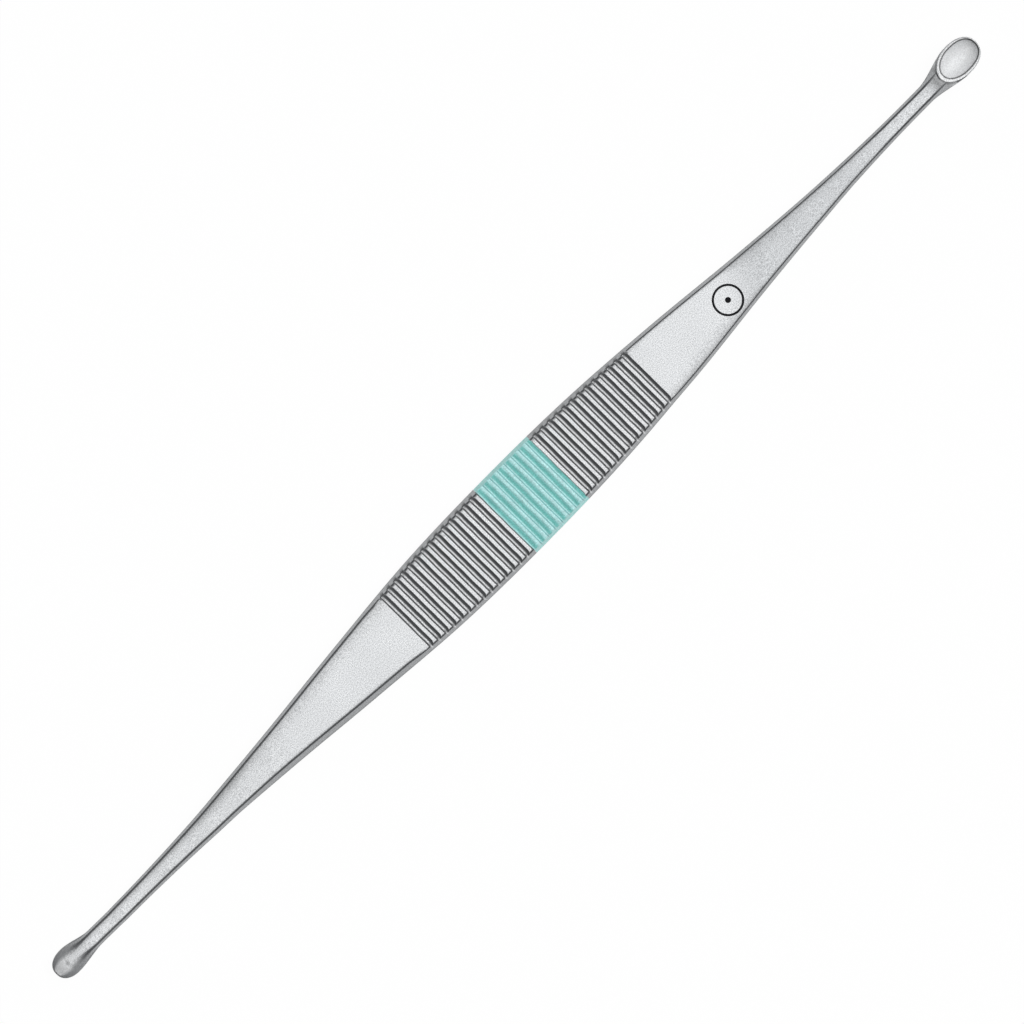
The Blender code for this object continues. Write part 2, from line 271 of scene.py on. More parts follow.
class Spoon:
    """One spoon's sizes. u runs from the middle of the instrument out to its tip.

    The hollow is up here, and ring_of turns the small spoon over.
    """

    tilt = math.tan(math.radians(6.0))

    # The wall's thickness on its three sides, its outer edge, the bevel round the hollow, the
    # flat along the parting line, and how far the back lies under the rim's middle
    neck_wall = 0.46 * MM
    side_wall = 0.32 * MM
    tip_wall = 0.14 * MM
    edge = 0.055 * MM
    bevel_drop = 0.03 * MM
    land = 0.08 * MM
    back_depth = 1.85 * MM

    # How far the neck's rise to the rim, the painted shadow at the rim's foot and the rim's painted
    # shade lines reach
    rise_reach = 0.4 * MM
    shadow_reach = 0.13 * MM
    line_reach = 0.015 * MM

    # The painted shade line round the hollow: the hollow's share at which it starts, on the neck's
    # side and at the tip, and its run
    wall_line_start = (0.935, 0.957)
    wall_line_run = 0.018

    # Rings of the rim from its inner edge out: the way out, the share of the bevel's drop and how
    # dark a painted shade line it carries
    rings = (
        (0.02 * MM, 0.75, 0.8),
        (0.035 * MM, 0.5, 0.0),
        (0.085 * MM, 0.0, 0.0),
        (0.1 * MM, 0.0, 0.55),
        (0.115 * MM, 0.0, 0.0),
    )
    bevel_width = rings[2][0]

    def __init__(self, split, rim_length, rim_width, rim_rise, hollow_depth, swell_length):
        self.split = split
        self.half_length = rim_length / 2.0
        self.half_width = rim_width / 2.0
        self.rim_rise = rim_rise
        self.hollow_depth = hollow_depth
        self.swell_length = swell_length
        self.widest = HALF_LENGTH - self.half_length
        self.outer = (self.widest, self.half_length - self.edge, self.half_width - self.edge)
        inner_length = self.half_length - (self.neck_wall + self.tip_wall) / 2.0
        inner_centre = self.widest + (self.neck_wall - self.tip_wall) / 2.0
        self.inner = (inner_centre, inner_length, self.half_width - self.side_wall)

    def cup(self, u):
        """How far the neck has turned into the cup at u."""
        return smooth((u - self.widest + self.swell_length) / self.swell_length)

    def rim_height(self, u):
        return self.rim_rise - self.tilt * (u - self.widest)

    def past(self, u):
        """How far u is past the widest place, as a share of the way to the tip."""
        return min(max(u - self.widest, 0.0) / self.half_length, 1.0)

    def round_off(self, u, power):
        """The share of a width or depth that is left at u on the way round to the tip."""
        return (1.0 - self.past(u) ** power) ** (1.0 / power)

    def width_at(self, u):
        """Half the outline's width at u."""
        width = mix(self.cup(u), NECK_WIDTH / 2.0, self.half_width)
        return width * self.round_off(u, TIP_POWER)

    def parting(self, u):
        """The height of the parting line, which rises from the neck's to just under the rim."""
        return (self.rim_height(u) - self.edge - self.land) * self.cup(u)

    def half_land(self, u):
        """Half the width of the flat that runs along the parting line."""
        return mix(self.cup(u), LAND, self.land / 2.0)

    def wall_line(self, u, size):
        """The painted shade line round the top of the hollow, at a share of the hollow's size."""
        centre, length, _ = self.inner
        towards_tip = max(0.0, (u - centre) / length) ** 2
        return smooth((size - mix(towards_tip, *self.wall_line_start)) / self.wall_line_run)

    def ring_line(self, outside):
        """The painted shade lines along the rim, at a distance out from the hollow."""
        reach = self.line_reach
        return max(line * max(0.0, 1.0 - abs(outside - out) / reach) for out, _, line in self.rings)


def smooth(share):
    """An even change from zero to one, level at both ends."""
    share = min(max(share, 0.0), 1.0)
    return share * share * (3.0 - 2.0 * share)


def mix(share, first, second):
    """The first value where the share is zero, and the second where it is one."""
    return first * (1.0 - share) + second * share


def soft_positive(value, softness):
    """The value where it is positive and zero where it is negative, with a rounded corner."""
    return (value + math.sqrt(value * value + softness * softness)) / 2.0


def curve_through(shares, at):
    """A smooth curve through evenly spaced shares, level at both ends, read at 0 to 1."""
    last = len(shares) - 1
    place = min(max(at, 0.0), 1.0) * last
    first = min(int(place), last - 1)
    t = place - first
    around = (abs(first - 1), first, first + 1, last - abs(last - first - 2))
    p0, p1, p2, p3 = (shares[index] for index in around)
    slope_1 = (p2 - p0) / 2.0
    slope_2 = (p3 - p1) / 2.0
    rise = p2 - p1
    square = 3.0 * rise - 2.0 * slope_1 - slope_2
    cube = slope_1 + slope_2 - 2.0 * rise
    return p1 + slope_1 * t + square * t**2 + cube * t**3


def plateau(x, changes):
    """One between the second and third distances, and zero before the first and after the last."""
    start, full, fade, end = changes
    return smooth((x - start) / (full - start)) * (1.0 - smooth((x - fade) / (end - fade)))


def sway_share(x):
    """How much of the sway there is at x."""
    return plateau(x, LARGE_SWAY_CHANGES) if x > 0.0 else plateau(-x, SMALL_SWAY_CHANGES)


def sway(x):
    """How far the middle of the outline at x lies off the X axis."""
    return -(LARGE_SWAY if x > 0.0 else SMALL_SWAY) * sway_share(x)


def split_on(x):
    """The distance from the middle of the handle to the spoon on x's side."""
    return LARGE_SPLIT if x > 0.0 else SMALL_SPLIT


def half_width(x):
    """Half the handle's width at x, where its flanks meet."""
    shares = LARGE_SIDE_WIDTH_SHARES if x > 0.0 else SMALL_SIDE_WIDTH_SHARES
    width = NECK_WIDTH + (GRIP_WIDTH - NECK_WIDTH) * curve_through(shares, abs(x) / split_on(x))
    return width / 2.0 + SWAY_WIDENING * sway_share(x)


def half_thickness(x):
    """Half the handle's thickness at x, in the middle of its faces."""
    flat_end = FLAT_LENGTH / 2.0
    thinned = smooth((abs(x) - flat_end) / (split_on(x) - flat_end))
    return mix(thinned, THICKNESS, NECK_THICKNESS) / 2.0


def inset(oval, by):
    """The oval (centre, half length, half width) drawn in on all sides."""
    centre, length, width = oval
    return centre, length - by, width - by


def oval_y(oval, u):
    """The half width of an oval (centre, half length, half width) at u, and zero beyond its ends."""
    centre, length, width = oval
    along = (u - centre) / length
    power = TIP_POWER if along > 0.0 else 2.0
    return width * max(0.0, 1.0 - abs(along) ** power) ** (1.0 / power)


def outside_by(oval, u, y):
    """How far a point lies outside an oval, along the line from the oval's centre."""
    centre, length, width = oval
    along = (u - centre) / length
    power = TIP_POWER if along > 0.0 else 2.0
    size = (abs(along) ** power + abs(y / width) ** power) ** (1.0 / power)
    return math.hypot(u - centre, y) * (1.0 - 1.0 / size) if size > 1.0 else 0.0


def line_share(x):
    """How much of the painted shade lines along the edges of the faces shows at x."""
    if x > 0.0:
        return max(LARGE_LINE_SHARE, smooth((x - LARGE_LINE_START) / LARGE_LINE_RUN))
    return SMALL_LINE_SHARE


def inner_line(inside, width):
    """How dark a painted shade line inside an edge is, at a distance inside it."""
    return smooth(LINE_REACH - inside / width)


def crown_steepness(x, side):
    """How many times its usual fall a face has at x on one side."""
    if side > 0:
        return mix(smooth((-x - SMALL_NECK_START) / SMALL_NECK_RUN), 1.0, SMALL_NECK_CROWN)
    return mix(plateau(-x, SMALL_SIDE_CROWN_CHANGES), 1.0, SMALL_SIDE_CROWN)


def crowned(x, y, side, corner):
    """How far a face has fallen at y, on the +Y side (1) or the -Y side (-1) of the instrument."""
    changed = plateau(x, CROWN_CHANGES)
    wide = 1.0 - changed if side > 0 else changed
    reach = min(mix(wide, NARROW_CROWN, WIDE_CROWN), corner)
    inside = max(0.0, y - (corner - reach)) / reach
    fall = CROWN_FALL * inside**2 + CROWN_EDGE_FALL * inside**6
    return reach * crown_steepness(x, side) * fall


def edge_and_flank(shoulder, foot, radius, line, end_shade=0.0, end_light=0.0):
    """Points over the rounded edge and down the flank to its foot.

    end_shade darkens the top of the flank as painted shade, and end_light keeps it as bright as the
    face as painted light.
    """
    corner = (shoulder.y + radius, shoulder.z - radius * 0.25)
    run = (foot.y - corner[0], foot.z - corner[1])
    length = math.hypot(*run)
    top = Point(corner[0] + run[0] / length * radius, corner[1] + run[1] / length * radius)
    points = []
    for step in range(1, EDGE_POINTS + 1):
        t = step / EDGE_POINTS
        y, z = (
            (1.0 - t) ** 2 * a + 2.0 * t * (1.0 - t) * b + t * t * c
            for a, b, c in zip(shoulder[:2], corner, top[:2])
        )
        flank = foot.flank * t * (1.0 - end_light)
        points.append(foot._replace(y=y, z=z, flank=flank, line=max(line * (1.0 - t**4), end_shade)))
    for step in range(1, FLANK_POINTS + 1):
        t = step / FLANK_POINTS
        faded = max(end_shade * (1.0 - 1.6 * t), foot.line if step == FLANK_POINTS else 0.0)
        flank = foot.flank * (1.0 - end_light * max(0.0, 1.0 - 2.2 * t))
        points.append(Point(mix(t, top.y, foot.y), mix(t, top.z, foot.z), flank, faded, foot.satin))
    return points


def face_places(start, end):
    """Places across a face, closer together towards its edge."""
    left = [1.0 - step / FACE_POINTS for step in range(1, FACE_POINTS + 1)]
    return [start + (end - start) * (1.0 - share**FACE_POINTS_POWER) for share in left]


def flat_corner(width, height):
    """Where a face and the drafted flank beside it would meet if the edge between them were sharp."""
    return width - (height - LAND) * DRAFT


def flank_share(x, side):
    """The width of the flank at x as a share of its drafted width."""
    if x > 0.0:
        return mix(plateau(x, LARGE_FLANK_CHANGES), 1.0, LARGE_FLANK_SHARE)
    narrow, wide = SMALL_FLANK_SHARES
    return mix(plateau(-x, SMALL_FLANK_CHANGES), 1.0, narrow if side > 0 else wide)


def face_corner(x, side, width, height):
    """Where a face ends at x, with the flank beside it as wide as it really is there."""
    return width - (width - flat_corner(width, height)) * flank_share(x, side)


def face_point(x, y, z, side, corner, cut):
    """A point of a face, with painted shade along its edge and where a groove or a land ends."""
    inside = corner - y
    width = LARGE_LINE_WIDTH if x > 0.0 else SMALL_LINE_WIDTH
    line = line_share(x) * inner_line(inside - EDGE_RADIUS, width)
    flank = 0.0
    if cut and side < 0:
        land_line = inner_line(inside - EDGE_RADIUS, LAND_LINE_WIDTH)
        line = (1.0 - cut.lit_end) * cut.land * land_line
    if cut and side > 0:
        flank = cut.land * smooth(1.5 - inside / LAND_BEVEL)
        land_line = cut.land * smooth(2.0 * (1.0 - abs(inside / LAND_BEVEL - 1.0) / 0.8))
        line = max(land_line, cut.shaded_end * smooth(1.0 - inside / END_DARK_REACH))
    return Point(y, z, flank=flank, line=line)


def flat_quarter(x, side, width, height, cut=None):
    """A quarter of the handle's outline, from the middle line to the parting land.

    The points that make up a spoon's hollow and rim all lie on the middle line here.
    """
    uncut_corner = face_corner(x, side, width, height)

    def drop(y):
        fall = crowned(x, y, side, uncut_corner)
        if cut is None:
            return fall
        lift = END_RISE * smooth((y - uncut_corner + END_REACH) / END_REACH) ** 2
        return fall + soft_positive(cut.depth(y * side) - lift - fall, cut.lip)

    corner = uncut_corner + drop(uncut_corner) * DRAFT
    points = [Point(0.0, height - drop(0.0))] * (HOLLOW_RINGS + RIM_RINGS + 1)
    for y in face_places(0.0, corner - EDGE_RADIUS):
        points.append(face_point(x, y, height - drop(y), side, corner, cut))
    # Painted shade at a groove's +Y end and painted light at its -Y end
    end_shade = cut.shaded_end if cut and side > 0 else 0.0
    end_light = cut.lit_end if cut and side < 0 else 0.0
    line = 1.0 - end_light - (0.8 * cut.land if cut and side > 0 else 0.0)
    points[-1] = points[-1]._replace(line=max(points[-1].line, line))
    # The flank's foot carries a painted shade line
    foot = Point(width, LAND, flank=1.0, line=0.5)
    return points + edge_and_flank(points[-1], foot, EDGE_RADIUS, line, end_shade, end_light)


def hollow_side(spoon, u, x, side):
    """A quarter of a spoon's outline on the side that it opens to."""
    cup = spoon.cup(u)
    width = spoon.width_at(u)
    rim = spoon.rim_height(u)
    foot_height = spoon.parting(u) + spoon.half_land(u)
    # The flank's foot carries a painted shade line along the neck
    foot = Point(width, foot_height, flank=1.0 - 0.9 * cup, satin=cup, line=0.6 * (1.0 - cup))
    corner = flat_corner(NECK_WIDTH / 2.0, NECK_THICKNESS / 2.0)
    base = mix(cup, NECK_THICKNESS / 2.0, rim - spoon.edge * 1.3)
    outer_y = oval_y(spoon.outer, u)

    def rise_at(y):
        """How far the neck's face has risen to the rim."""
        return math.exp(-outside_by(spoon.outer, u, y) / spoon.rise_reach)

    def shadow(y):
        """The painted shadow along the foot of the rim on its neck side."""
        before = (spoon.widest - u) / spoon.half_length
        near = smooth(2.2 * before - 0.3) if side > 0 else 0.75 * smooth(2.2 * before - 0.8)
        near *= mix(smooth((before - 0.75) / 0.2), 0.4, 1.0)
        fading = math.exp(-outside_by(spoon.outer, u, y) / spoon.shadow_reach)
        return near * min(1.0, 1.5 * fading)

    def face(y):
        """The height of the neck's face outside the rim."""
        flat = base - crowned(x, y, side, corner) * (1.0 - cup)
        return flat + (rim - spoon.edge - base) * rise_at(y)

    def middle_point():
        """The point on the middle line: in the hollow, on the rim or on the neck's face."""
        centre, length, _ = spoon.inner
        if oval_y(spoon.inner, u) > 0.0:
            along = (u - centre) / length
            depth = spoon.bevel_drop + spoon.hollow_depth * math.sqrt(1.0 - along * along)
            return Point(0.0, rim - depth, satin=1.0, line=spoon.wall_line(u, abs(along)))
        if outer_y > 0.0:
            outside = abs(u - centre) - length
            drop = spoon.bevel_drop * max(0.0, 1.0 - outside / spoon.bevel_width)
            edge = spoon.edge * max(0.0, 1.0 - outer_y / spoon.edge)
            return Point(0.0, rim - drop - edge, rim=1.0, line=spoon.ring_line(outside))
        return Point(0.0, face(0.0), satin=rise_at(0.0), line=shadow(0.0))

    middle = middle_point()
    points = [middle]

    def add(y, drop, **shares):
        points.append(Point(y, rim - drop, **shares) if y > 0.0 else middle)

    centre, length, across = spoon.inner
    for ring in range(1, HOLLOW_RINGS + 1):
        size = math.sin(math.pi / 2.0 * ring / HOLLOW_RINGS)
        y = oval_y((centre, length * size, across * size), u)
        depth = spoon.bevel_drop + spoon.hollow_depth * math.sqrt(max(0.0, 1.0 - size * size))
        add(y, depth, satin=1.0, line=spoon.wall_line(u, size))
    for out, drop, line in spoon.rings:
        add(oval_y(inset(spoon.inner, -out), u), spoon.bevel_drop * drop, line=line, rim=1.0)
    # How dark a painted shade line the rim's outer edge carries, on the +Y side and on the -Y side
    brow = 0.5 if side > 0 else 0.15
    edge_rings = ((inset(spoon.outer, spoon.edge), 0.0, brow), (spoon.outer, spoon.edge, 1.0))
    for oval, drop, line in edge_rings:
        add(oval_y(oval, u), drop, line=line, rim=1.0 - line)
    face_edge = corner - EDGE_RADIUS
    past_rim = outer_y + spoon.edge / 3.0
    shoulder = min(face_edge + soft_positive(past_rim - face_edge, spoon.edge), width * 0.995)
    for y in face_places(outer_y, shoulder):
        # A painted shade line along the edge of the neck's face
        edge_line = (1.0 - cup) * inner_line(shoulder - y, LARGE_LINE_WIDTH)
        line = max(shadow(y), edge_line)
        points.append(Point(y, face(y), satin=max(cup, rise_at(y)), line=line))
    radius = max(min(EDGE_RADIUS, (width - shoulder) * 0.4), LEAST_RADIUS)
    outside = edge_and_flank(points[-1], foot, radius, 1.0 - cup**3)
    return points + [point._replace(line=max(point.line, shadow(point.y))) for point in outside]


def pit_share(x, y):
    """How much of the pit there is at a place on the small spoon's back."""
    return smooth(1.3 - (Vector((x, y)) - PIT_CENTRE).length / PIT_RADIUS)


def back_side(spoon, u, x, side):
    """A quarter of a spoon's outline on its back, from the neck's drafted shape to the round cup."""
    cup = spoon.cup(u)
    past = spoon.past(u)
    matt = cup * mix(smooth(4.0 * past), 0.3, 1.0)
    # Painted shade on the back: a line round the tip, a line along the shoulder, darker sides and a
    # dark outline
    tip_line = 0.8 * smooth((past - 0.87) / 0.08)
    width = spoon.width_at(u)
    neck_height = NECK_THICKNESS / 2.0
    foot = spoon.parting(u) - spoon.half_land(u)
    deepest = spoon.rim_rise - spoon.back_depth
    back = mix(spoon.round_off(u, BACK_POWER), spoon.rim_height(u), deepest)
    bottom = mix(cup, -neck_height, back)
    flat = BACK_FLAT * spoon.round_off(u, TIP_POWER)
    drafted = flat_quarter(x, side, NECK_WIDTH / 2.0, neck_height)
    first = HOLLOW_RINGS + RIM_RINGS
    shoulder = first + FACE_POINTS
    last = len(drafted) - 1
    points = []
    for index, point in enumerate(drafted):
        across = min(max(0, index - first) / FACE_POINTS, 1.0)
        angle = math.pi / 2.0 * max(0, index - shoulder) / (last - shoulder)
        round_y = flat * across if index <= shoulder else flat + (width - flat) * math.sin(angle)
        round_drop = (1.0 - 0.03 * across**2) * math.cos(angle)
        y = mix(cup, point.y, round_y)
        drop = mix(cup, (point.z - LAND) / (neck_height - LAND), round_drop)
        flank = mix(cup, point.flank, smooth(math.sin(angle) * 2.1))
        shoulder_line = 0.6 * smooth(1.0 - abs(math.sin(angle) - 0.3) / 0.3) * (1.0 - past)
        line = max(mix(cup**4, point.line, shoulder_line), tip_line, 0.43 * cup * flank)
        line = max(line, 0.6 if index == last else 0.08 * past)
        z = foot + (bottom - foot) * drop
        pit = pit_share(-u, y * side) if spoon.split == SMALL_SPLIT else 0.0
        # The pit carries a painted dark reflection
        line = max(line, PIT_DARK_REFLECTION * pit)
        points.append(Point(y, z + PIT_DEPTH * pit, flank=flank, line=line, satin=matt))
    return points


def turned(points, upper):
    """A quarter's points as they are, or mirrored to the lower half."""
    return points if upper else [point._replace(z=-point.z) for point in points]


def ring_of(quarter, over=False):
    """The closed outline from its four quarters, turned over for the spoon that faces down."""
    ring = []
    flip = -1.0 if over else 1.0
    for side, upper in ((1, True), (-1, True), (-1, False), (1, False)):
        points = [p._replace(y=p.y * side, z=p.z * flip) for p in quarter(side, upper != over)]
        ring += points[::-1] if (side > 0) == upper else points[1:]
    return ring


def groove_centres():
    """The grooves' places: even but for a drift that is greatest in the middle."""
    middle = (GROOVE_COUNT - 1) / 2.0
    reach = GROOVE_PITCH * middle
    shares = [index / middle - 1.0 for index in range(GROOVE_COUNT)]
    return [SERRATION_CENTRE + reach * share + GROOVE_DRIFT * (1.0 - share**2) for share in shares]


def groove_offset(x, centres):
    """The distance from the nearest groove's centre, less than zero on its -X side."""
    return min((x - centre for centre in centres), key=abs)


def groove_arc(offset, depth):
    """The depth of a groove's round bottom below the face, less than zero beyond its edges."""
    half = GROOVE_WIDTH / 2.0
    radius = (half**2 + depth**2) / (2.0 * depth)
    if abs(offset) < half:
        from_bottom = offset + GROOVE_SKEW * (1.0 - (offset / half) ** 2)
        return depth - radius + math.sqrt(radius**2 - from_bottom**2)
    return -(abs(offset) - half) * half / (radius - depth)


class Station(NamedTuple):
    """One outline along the instrument, with the shares of the finishes that hold all round it.

    wave and hook say how far its points follow the drift and the bent ends of the grooves, and
    corner is where its faces end.
    """

    x: float
    ring: list
    wave: float = 0.0
    # groove, lip and shade carry painted shade in and along a groove, and on the band groove also the
    # pooled coating's deeper colour
    groove: float = 0.0
    lip: float = 0.0
    shade: float = 0.0
    hook: float = 0.0
    corner: float = 0.0
    polish: float = 0.0


def neck_shade_share(x):
    """How much painted shade a place on the instrument has on the large spoon's neck, where its face
    tilts.
    """
    started = smooth((x - NECK_SHADE_START) / NECK_SHADE_RUN)
    faded = smooth((x - NECK_SHADE_FADE) / NECK_SHADE_FADE_RUN)
    return started * mix(faded, 1.0, NECK_SHADE_LEFT)


def coating_and_shade_share(offset):
    """How deep the coating's colour is across a groove: where it has run down and pooled, and where
    painted shade lies on the groove's +X wall.
    """
    bead = COATING_BEAD_SHARE * smooth((offset + GROOVE_WIDTH * 0.6) / COATING_RUN)
    start = mix(smooth((offset - COATING_START) / COATING_RUN), bead, 1.0)
    return start * (1.0 - smooth((offset - COATING_PEAK) / COATING_FADE))


def handle_ring(x, width, height, cut=None):
    """The handle's whole outline at x, from its half width and half thickness."""
    return ring_of(lambda side, upper: turned(flat_quarter(x, side, width, height, cut), upper))


def grip_station(x, inset_by=0.0):
    """The handle's plain outline at x, or all of it set in."""
    return Station(x, handle_ring(x, half_width(x) - inset_by, half_thickness(x) - inset_by))


def steel_groove_station(x, centres):
    """The grip's outline at x less a groove's depth, with the groove's painted shade."""
    half = GROOVE_WIDTH / 2.0
    width, height = half_width(x), half_thickness(x)
    offset = groove_offset(x, centres)
    place = offset / half
    arc = groove_arc(offset, GROOVE_DEPTH)
    within = smooth((1.1 - abs(place)) / 0.12)
    cut = Cut(
        depth=lambda y: arc * depth_wave(x, y),
        lip=GROOVE_LIP,
        shaded_end=0.8 * smooth((place + 0.75) / 0.5) * within,
        lit_end=0.9 * smooth((place + 1.0) / 0.3) * (1.0 - smooth((place + 0.15) / 0.3)),
        land=1.0 - within if abs(offset) < GROOVE_PITCH * 0.55 else 0.0,
    )
    return Station(
        x,
        handle_ring(x, width, height, cut),
        wave=1.0,
        # The groove's depth, by which the steel's colour is darkened as painted shade
        groove=soft_positive(arc, GROOVE_LIP) / GROOVE_DEPTH,
        # A painted shade line along the groove's -X edge, where its wall is steepest
        lip=smooth((0.24 - abs(place + 0.96)) / 0.04),
        # Painted shade on the groove's +X wall, which faces away from the light
        shade=smooth((place + 0.36) / 0.45) * smooth((1.07 - place) / 0.06),
        hook=min(max((place + 0.9) / 1.9, 0.0), 1.0),
        corner=flat_corner(width, height),
        polish=LAND_POLISH * cut.land,
    )


def band_groove_station(x, centres):
    """The band's outline at x, with its shallower groove and the coating's colour with painted shade.
    """
    half = GROOVE_WIDTH / 2.0
    width, height = half_width(x), half_thickness(x)
    offset = groove_offset(x, centres)
    from_ridge = (GROOVE_PITCH / 2.0 - abs(offset)) / (GROOVE_PITCH / 2.0 - half)
    arc = groove_arc(offset, BAND_GROOVE_DEPTH) + BAND_ROUND * min(1.0, from_ridge) ** 2
    cut = Cut(lambda y: arc * depth_wave(x, y), BAND_LIP, lit_end=1.0)
    return Station(
        x,
        handle_ring(x, width, height, cut),
        wave=1.0,
        groove=coating_and_shade_share(offset),
        # A painted shade line along the groove's -X edge
        lip=smooth((0.27 - abs(offset / half + 0.95)) / 0.12),
    )


def spoon_station(spoon, u, direction):
    """The outline of the spoon at u, on the +X side (1) or turned over on the -X side (-1)."""
    x = u * direction
    shift = SPOON_OFFSET * spoon.cup(u)

    def quarter(side, hollow):
        return hollow_side(spoon, u, x, side) if hollow else back_side(spoon, u, x, side)

    ring = ring_of(quarter, over=direction < 0)
    return Station(x, [point._replace(y=point.y + shift) for point in ring])


def spread(start, end, step):
    """Even places from start to end, no further apart than step."""
    count = max(1, math.ceil((end - start) / step))
    return [start + (end - start) * index / count for index in range(count + 1)]


def groove_places(centres):
    """Places for outlines across the grooves."""
    half = GROOVE_WIDTH / 2.0
    shares = GROOVE_SHARES + tuple(-share for share in reversed(GROOVE_SHARES))
    return [centre + half * share for centre in centres for share in shares]


def spoon_places(spoon):
    """Places along a spoon, closest together at the ends of its ellipses."""
    swell = spoon.widest - spoon.swell_length
    places = set(spread(spoon.split, swell, NECK_STEP))
    places |= set(spread(swell, spoon.widest, SWELL_STEP))
    ovals = [spoon.inner, spoon.outer, inset(spoon.outer, spoon.edge)]
    ovals += [inset(spoon.inner, -out) for out, _, _ in spoon.rings]
    for centre, length, _ in ovals:
        for step in range(OVAL_STEPS + 1):
            places.add(centre - length * math.cos(math.pi * step / OVAL_STEPS))
    for step in range(TIP_EDGE_STEPS + 1):
        angle = math.pi / 2.0 * step / TIP_EDGE_STEPS
        places.add(HALF_LENGTH - spoon.edge * (1.0 - math.sin(angle)))
    ordered = sorted(place for place in places if place <= HALF_LENGTH)
    kept = ordered[:1]
    for place in ordered[1:]:
        if place - kept[-1] > LEAST_STEP:
            kept.append(place)
    return kept


def wave_place(x, y, layer):
    """Where a wave at x and y is read from the noise."""
    return Vector((x / WAVE_ALONG, y / WAVE_ACROSS, layer))


def depth_wave(x, y):
    """The share of a groove's depth that is there, which varies a little along it."""
    return 1.0 + DEPTH_WAVE_SHARE * noise.noise(wave_place(x, y, DEPTH_WAVE_LAYER))


def hooked(station, y):
    """How far the wall of a groove has bent towards -X at y, near either end of the groove."""
    if station.hook == 0.0:
        return 0.0
    past = abs(y) - station.corner
    flank_width = half_width(station.x) - station.corner
    bend = smooth(1.0 + past / HOOK_REACH) ** 2 * (1.0 - smooth(past / flank_width))
    return HOOK * station.hook * bend


def waved(x, y):
    """A small drift of the grooves' edges, as hand-finished serration has."""
    return WAVE * noise.fractal(wave_place(x, y, WAVE_LAYER), *WAVE_NOISE)


def join_rings(mesh, pairs):
    """Faces between each two rings of points."""
    for ring, following in pairs:
        for index in range(len(ring)):
            ahead = (index + 1) % len(ring)
            mesh.faces.new((ring[index], following[index], following[ahead], ring[ahead]))


def mesh_through(stations, closed=False):
    """A closed mesh through the stations, with the finishes kept as attributes."""
    mesh = bmesh.new()
    layers = [mesh.verts.layers.float.new(name) for name in FINISHES]
    rings = []
    for station in stations:
        ring = []
        for point in station.ring:
            shift = waved(station.x, point.y) * station.wave - hooked(station, point.y)
            y = point.y + sway(station.x)
            vert = mesh.verts.new((station.x + shift, y, point.z + MIDDLE_HEIGHT))
            on_face = 1.0 - point.flank
            shares = (
                point.flank,
                point.line,
                point.satin,
                max(point.rim, station.polish),
                station.groove * on_face,
                station.lip * on_face,
                station.shade * on_face,
                neck_shade_share(station.x),
            )
            for layer, share in zip(layers, shares):
                vert[layer] = share
            ring.append(vert)
        rings.append(ring)
    pairs = list(zip(rings, rings[1:]))
    if closed:
        pairs.append((rings[-1], rings[0]))
    join_rings(mesh, pairs)
    if not closed:
        mesh.faces.new(rings[0])
        mesh.faces.new(rings[-1])
    bmesh.ops.remove_doubles(mesh, verts=mesh.verts, dist=SAME_POINT)
    bmesh.ops.dissolve_degenerate(mesh, edges=mesh.edges, dist=NO_LENGTH)
    bmesh.ops.recalc_face_normals(mesh, faces=mesh.faces)
    return mesh


def add_object(name, data):
    """An object in the scene."""
    made = bpy.data.objects.new(name, data)
    bpy.context.scene.collection.objects.link(made)
    return made


def add_piece(name, mesh, look, nodes):
    """An object from the mesh, in place of the CAD nodes that it covers."""
    data = bpy.data.meshes.new(name)
    mesh.to_mesh(data)
    mesh.free()
    data.materials.append(look)
    data.shade_smooth()
    data.set_sharp_from_angle(angle=SHARP_ANGLE)
    piece = add_object(name, data)
    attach(piece, "root")
    if nodes:
        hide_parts(*nodes)
    return piece


def band_ends():
    """The x of the colour band's two ends, just past the grooves that it covers."""
    covered = groove_centres()[GROOVES_BEFORE_BAND:][:BAND_GROOVES]
    reach = GROOVE_PITCH / 2.0 - BAND_OVERLAP / 2.0
    return covered[0] - reach, covered[-1] + reach


def steel_body(look):
    """The one forging, from the tip of the small spoon to that of the large one."""
    large = Spoon(LARGE_SPLIT, **LARGE_SPOON)
    small = Spoon(SMALL_SPLIT, **SMALL_SPOON)
    centres = groove_centres()
    places = groove_places(centres)
    start = centres[0] - GROOVE_WIDTH
    end = centres[-1] + GROOVE_WIDTH
    left, right = band_ends()
    walls = (left - BAND_GAP, right + BAND_GAP)

    stations = [spoon_station(small, u, -1) for u in reversed(spoon_places(small))]
    stations += [grip_station(x) for x in spread(-SMALL_SPLIT, start, HANDLE_STEP)[1:-1]]
    before = [start] + [place for place in places if place < walls[0]] + [walls[0]]
    stations += [steel_groove_station(x, centres) for x in before]
    stations += [grip_station(x, inset_by=BAND_THICKNESS + BAND_GAP) for x in walls]
    after = [walls[1]] + [place for place in places if place > walls[1]] + [end]
    stations += [steel_groove_station(x, centres) for x in after]
    stations += [grip_station(x) for x in spread(end, LARGE_SPLIT, HANDLE_STEP)[1:-1]]
    stations += [spoon_station(large, u, 1) for u in spoon_places(large)]
    nodes = ("handle", "large_spoon", "small_spoon")
    return add_piece("steel_body", mesh_through(stations), look, nodes)


def colour_band(look):
    """The ribbed covering, flush with the grip."""
    centres = groove_centres()[GROOVES_BEFORE_BAND:][:BAND_GROOVES]
    left, right = band_ends()
    places = [left] + [place for place in groove_places(centres) if left < place < right] + [right]
    stations = [band_groove_station(x, centres) for x in places]
    stations += [grip_station(x, inset_by=BAND_THICKNESS) for x in (right, left)]
    mesh = mesh_through(stations, closed=True)
    return add_piece("turquoise_band", mesh, look, ("colour_band",))


